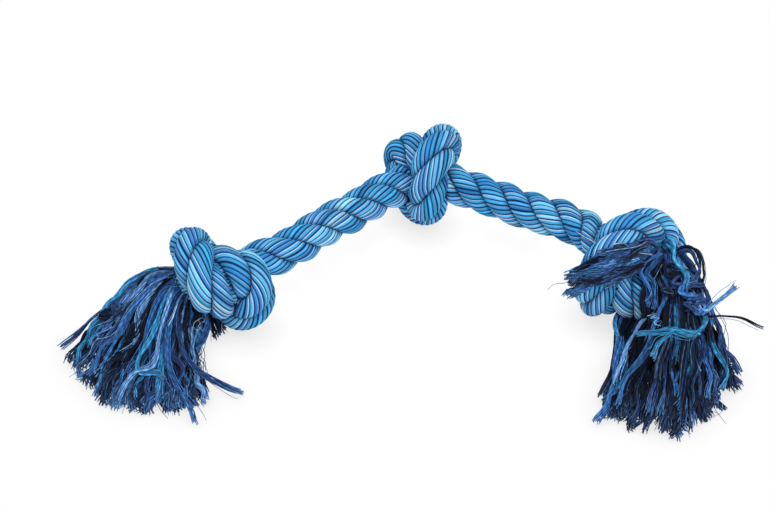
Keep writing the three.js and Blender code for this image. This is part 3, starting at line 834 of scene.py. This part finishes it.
def yarn_threads(dice, line, dye_and_shade, threads, width, fray):
    """A flat yarn's threads, spread like a brush at its tip: lines, radii, dyes, plies' slants."""
    length = np.linalg.norm(np.diff(line, axis=0), axis=1).sum()
    ahead = unit(np.gradient(line, axis=0))
    across = sideways(line)
    rise = np.cross(ahead, across)
    lean = dice.uniform(-YARN_LEAN, YARN_LEAN)
    tip = dice.uniform(*(NAVY_BLEACH if dye_and_shade == NAVY else BLEACH))
    made = []
    for t in range(threads + FLYAWAYS):
        flyaway = t >= threads
        at = np.linspace(0, dice.uniform(*THREAD_ENDS), THREAD_RINGS)
        brush = 1 + fray * ramp(at, BRUSH_FROM, 1) ** FRAY_POWER
        reach = width * (FLYAWAY_REACH if flyaway else math.sqrt((t + 0.5) / threads)) * brush
        turn = t * GOLDEN_TURN + dice.uniform(-TURN_SPREAD, TURN_SPREAD) + at * length / YARN_TWIST
        wide, thick = reach * np.cos(turn), reach * np.sin(turn) * YARN_FLATNESS
        tilt = lean + at * length * 2 * math.pi / YARN_ROLL
        thread = at_shares(line, at)
        thread += (wide * np.cos(tilt) - thick * np.sin(tilt))[:, None] * at_shares(across, at)
        thread += (wide * np.sin(tilt) + thick * np.cos(tilt))[:, None] * at_shares(rise, at)
        stray, from_at = FLYAWAY_STRAY if flyaway else THREAD_STRAY
        off = dice.normal(0, stray, 3)
        thread += off * ramp(at, from_at, from_at + STRAY_SHARE)[:, None] ** FRAY_POWER
        radius = THREAD_RADIUS * (FLYAWAY_SIZE if flyaway else dice.uniform(*THREAD_SIZES))
        thread[:, 2] = np.where(  # it bends to lie on the floor
            thread[:, 2] < 2 * radius,
            radius + radius * np.exp(np.minimum(thread[:, 2] / radius - 2, 0)), thread[:, 2])
        taper = 1 - TAPER * ramp(at, TAPER_FROM, 1)
        tint = np.asarray(dye_and_shade) * dice.uniform(*THREAD_TINTS)
        if dice.uniform() < MIXED_THREADS:
            tint = (tint + (BLUE, LIGHT, DENIM)[dice.integers(3)]) / 2
        if flyaway and dice.uniform() < PALE_FLYAWAYS:
            tint = 0.5 * (np.array(PALE) + LIGHT)
        bleached = tip * ramp(at, BLEACH_FROM, 1)[:, None]
        tint = np.clip(tint * (1 - bleached) + np.array(LIGHT) * bleached, 0, 1)
        slant = YARN_PLIES * PLY_PITCH * (t * GOLDEN_TURN / (2 * math.pi) % 1)
        made.append((thread, radius * taper, linear(tint), slant))
    return made


def wavy(dice, line, sizes):
    """A line swung to the sides and up by waves of those sizes and counts, more towards its tip."""
    share = np.linspace(0, 1, len(line))
    across = sideways(line)
    for size, fewest, most in sizes:
        waves, starts = dice.uniform(fewest, most), dice.uniform(size=2)
        swing = dice.normal(0, size, 2)[:, None] * share**WAVE_POWER * np.sin(
            2 * math.pi * (waves * share + starts[:, None]))
        line = line + swing[0][:, None] * across
        line = line + WAVE_RISE * swing[1][:, None] * np.array((0, 0, 1))
    return line


def lock_threads(dice, dyed, mouth, inside, routes, count, lowest, loose, tangles):
    """The threads of a lock: yarns spread between its routes and layered below them."""
    fine = [evenly(smooth_line(route * MM), LOCK_STEPS)[0] for route in routes]
    share = np.linspace(0, 1, LOCK_STEPS + 1)
    shares = np.array([s for _, s in LOCK_DYES[dyed]])
    made = []
    hangs = lowest < HANGING  # not thrown back over the knot
    filling = FILLING if hangs else 0
    for y in range(count + filling):
        place = (y + dice.uniform()) / count * (len(fine) - 1)
        if y >= count:
            place = (y - count + dice.uniform()) / filling * (len(fine) - 1)
        low = min(int(place), len(fine) - 2)
        route = fine[low] + (place - low) * (fine[low + 1] - fine[low])
        layer = dice.uniform() ** TOP_HEAVY if y < count else dice.uniform(0, FILLING_HEIGHT)
        height = lowest + (1 - lowest) * layer
        route[:, 2] *= 1 - (1 - height) * ramp(share, 0, SUNK_SHARE)
        route = wavy(dice, route, YARN_WAVES)
        angle, reach = dice.uniform(0, 2 * math.pi), LOCK_ROOT * math.sqrt(dice.uniform())
        flat = math.sin(angle) * ROOT_FLATNESS
        own = reach * np.array([math.cos(angle), flat, flat])
        if np.linalg.norm(route[0] - mouth) < ROOT_NEAR:
            drawn = (1 - ramp(share, 0, ROOT_SHARE)) ** 2
            route += (mouth + own - route[0]) * drawn[:, None]
            route = np.vstack([inside + own, route])
        long = dice.uniform(*(LONG if hangs and layer <= HIGH_LAYER else MIXED))
        line = at_shares(evenly(route, LOCK_STEPS)[0], share * long)
        weights = shares.copy()
        if hangs:
            # More navy low down: partly navy yarns, partly painted shade inside the lock.
            weights[0] *= 1 + DEEP_NAVY_AND_SHADE * (1 - layer)  # navy comes first
        dye_and_shade = LOCK_DYES[dyed][dice.choice(len(shares), p=weights / weights.sum())][0]
        width = YARN_WIDTH * dice.uniform(*YARN_WIDTHS)
        made += yarn_threads(dice, line, dye_and_shade, THREADS, width, dice.uniform(*YARN_FRAY))
    for dye_and_shade, threads, width, points in loose:
        line = evenly(smooth_line(np.array(points) * MM), LOCK_STEPS)[0]
        line = wavy(dice, line, LOOSE_WAVES if threads > FINE_THREADS else FINE_WAVES)
        made += yarn_threads(dice, line, dye_and_shade, threads, width * MM, dice.uniform(*LOOSE_FRAY))
    for dye_and_shade, size, centre in tangles:
        spread = dice.normal(size=(CURL_POINTS, 3))
        curl = unit(spread) * dice.uniform(*CURL_SIZES, (CURL_POINTS, 1)) * CURL_SHAPE
        line = evenly(smooth_line((np.array(centre) + size * curl) * MM), LOCK_STEPS)[0]
        made += yarn_threads(dice, line, dye_and_shade, *TANGLE_YARN)
    return [np.array(values) for values in zip(*made)]


for number, ((side, letter), (routes, count, lowest, dyed)) in enumerate(LOCKS.items()):
    mouth, inside = mouths[side, letter]
    lock = thread_piece(
        f"{side}_tassel_{letter}",
        *lock_threads(np.random.default_rng(LOCK_SEED + number), dyed, mouth, inside, routes,
                      count, lowest, LOOSE_YARNS[side, letter], TANGLES.get((side, letter), [])),
        frayed_cotton,
    )
    towards = unit(routes[:, 1].mean(0) * MM - mouth)
    body = f"{side}_lock_{letter}"
    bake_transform(lock)
    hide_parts(body)


# ---- The floor and the light
# A white studio floor under large soft lamps, with light from all round, so that the toy casts only
# a faint soft shadow. The camera sees the white backdrop through it, greyed near the toy by a
# painted contact shadow from ambient occlusion.
FLOOR_SIZE = 8.0
FLOOR_GREY = 0.9
CONTACT_REACH = 0.02
CONTACT_SHADE = 0.3
LIGHT_AROUND = 0.5
LAMPS = (  # name, place, width, watts
    ("top_lamp", (-0.3, 0.1, 1.4), 0.9, 8),
    ("front_lamp", (0.5, -1.1, 1.1), 0.8, 12),
)


def seen_rays(nodes):
    """The kinds of ray that show what the camera sees, also in gloss and through glass."""
    path_kind = nodes.new("ShaderNodeLightPath")
    return [path_kind.outputs[f"Is {kind} Ray"] for kind in ("Camera", "Glossy", "Transmission")]


def largest(nodes, links, values):
    """A socket with the largest of several values."""
    result = values[0]
    for value in values[1:]:
        larger = nodes.new("ShaderNodeMath")
        larger.operation = "MAXIMUM"
        links.new(result, larger.inputs[0])
        links.new(value, larger.inputs[1])
        result = larger.outputs[0]
    return result


bpy.ops.object.select_all(action="DESELECT")
bpy.ops.mesh.primitive_plane_add(size=FLOOR_SIZE, location=(0, 0, 0))
floor = bpy.context.object
floor.name = "studio_floor"
paper = bpy.data.materials.new("white_paper")
paper.use_nodes = True
nodes, links = paper.node_tree.nodes, paper.node_tree.links
matt = nodes["Principled BSDF"]
matt.inputs["Base Color"].default_value = (FLOOR_GREY, FLOOR_GREY, FLOOR_GREY, 1)
matt.inputs["Roughness"].default_value = 1
matt.inputs["Specular IOR Level"].default_value = 0
clear = nodes.new("ShaderNodeBsdfTransparent")
# Painted contact shadow: ambient occlusion greys the see-through floor near the toy.
contact = nodes.new("ShaderNodeAmbientOcclusion")
contact.inputs["Distance"].default_value = CONTACT_REACH
soft = nodes.new("ShaderNodeMath")
soft.operation = "MULTIPLY_ADD"
soft.inputs[1].default_value = CONTACT_SHADE
soft.inputs[2].default_value = 1 - CONTACT_SHADE
links.new(contact.outputs["AO"], soft.inputs[0])
links.new(soft.outputs[0], clear.inputs["Color"])
below = nodes.new("ShaderNodeNewGeometry").outputs["Backfacing"]  # light reaches a drooping end
both = nodes.new("ShaderNodeMixShader")
links.new(largest(nodes, links, [*seen_rays(nodes), below]), both.inputs["Fac"])
links.new(matt.outputs["BSDF"], both.inputs[1])
links.new(clear.outputs["BSDF"], both.inputs[2])
links.new(both.outputs["Shader"], nodes["Material Output"].inputs["Surface"])
floor.data.materials.append(paper)

world = bpy.data.worlds.new("studio")
bpy.context.scene.world = world
world.use_nodes = True
nodes, links = world.node_tree.nodes, world.node_tree.links
around = nodes["Background"]
around.inputs["Color"].default_value = (1, 1, 1, 1)
around.inputs["Strength"].default_value = LIGHT_AROUND
backdrop = nodes.new("ShaderNodeBackground")
backdrop.inputs["Color"].default_value = (1, 1, 1, 1)
both = nodes.new("ShaderNodeMixShader")
links.new(largest(nodes, links, seen_rays(nodes)), both.inputs["Fac"])
links.new(around.outputs["Background"], both.inputs[1])
links.new(backdrop.outputs["Background"], both.inputs[2])
links.new(both.outputs["Shader"], nodes["World Output"].inputs["Surface"])

for name, place, width, power in LAMPS:
    bpy.ops.object.light_add(type="AREA", location=place)
    lamp = bpy.context.object
    lamp.name = name
    lamp.data.size = width
    lamp.data.energy = power
    towards = -np.array(place)
    lamp.rotation_euler = (
        math.acos(-towards[2] / np.linalg.norm(towards)),
        0,
        math.atan2(towards[1], towards[0]) - math.pi / 2,
    )
bpy.context.scene.view_settings.view_transform = "Standard"
